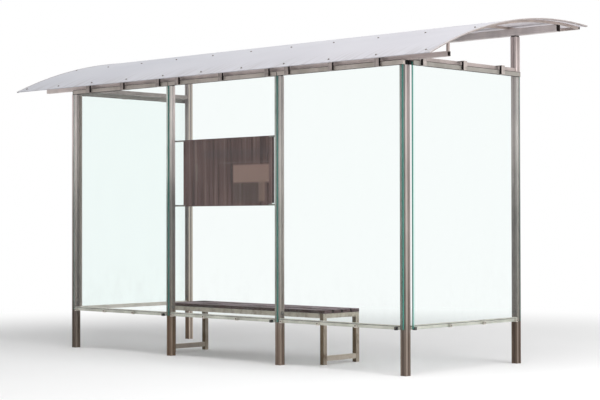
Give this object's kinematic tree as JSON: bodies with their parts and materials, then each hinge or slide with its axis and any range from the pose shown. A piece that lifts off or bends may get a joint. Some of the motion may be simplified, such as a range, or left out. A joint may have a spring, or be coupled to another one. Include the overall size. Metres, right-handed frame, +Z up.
{
  "type": "bus shelter",
  "caption": "Open-fronted bus shelter with glazed back and end walls, an arched roof sheet on bent ribs, a slatted bench and a notice board.",
  "frame": {"origin": "on the ground, under the middle of the roof's plan", "axes": "+X along the shelter, to the right seen from behind its back wall; +Y towards the road and the open front; +Z up"},
  "size_m": [5.25, 2.16, 2.933],
  "materials": {
    "post_aluminium": "satin anodised, champagne grey, drawn along its length",
    "beam_aluminium": "satin anodised",
    "rib_aluminium": "satin mill finish",
    "channel_aluminium": "satin anodised, pale",
    "clip_steel": "folded zinc-plated sheet",
    "hanger_steel": "flat galvanised bar",
    "cap_plastic": "black moulded",
    "roof_white": "matt white, a little dusty",
    "roof_trim": "satin white",
    "clear_glass": "clear toughened, green at its edges",
    "bench_paint": "olive grey powder coat",
    "bench_timber": "dark brown stained, worn",
    "board_brown": "weathered dark brown board with streaks",
    "case_brown": "dark brown paint"
  },
  "bodies": {
    "root": {"post_back_1": "post_aluminium", "post_back_2": "post_aluminium", "post_back_3": "post_aluminium", "post_back_4": "post_aluminium", "post_front_left": "post_aluminium", "post_front_right": "post_aluminium", "post_caps": "cap_plastic", "beam_back": "beam_aluminium", "beam_front": "beam_aluminium", "end_tie_left": "beam_aluminium", "end_tie_right": "beam_aluminium", "roof_ribs": "rib_aluminium", "roof_purlin_front": "rib_aluminium", "roof_sheet": "roof_white", "roof_trim_left": "roof_trim", "roof_trim_right": "roof_trim", "corner_strips": "post_aluminium", "glass_back_left": "clear_glass", "channel_back_left": "channel_aluminium", "rail_back_left": "channel_aluminium", "clips_back_left": "clip_steel", "glass_back_middle": "clear_glass", "channel_back_middle": "channel_aluminium", "rail_back_middle": "channel_aluminium", "clips_back_middle": "clip_steel", "glass_back_right": "clear_glass", "channel_back_right": "channel_aluminium", "rail_back_right": "channel_aluminium", "clips_back_right": "clip_steel", "glass_end_left": "clear_glass", "channel_end_left": "channel_aluminium", "rail_end_left": "channel_aluminium", "clips_end_left": "clip_steel", "glass_end_right": "clear_glass", "channel_end_right": "channel_aluminium", "rail_end_right": "channel_aluminium", "clips_end_right": "clip_steel", "bench_frame_left": "bench_paint", "bench_frame_right": "bench_paint", "bench_rail_back": "bench_paint", "bench_rail_front": "bench_paint", "bench_slats": "bench_timber", "board_panel": "board_brown", "board_case": "case_brown", "board_hangers": "hanger_steel"}
  },
  "joints": []
}
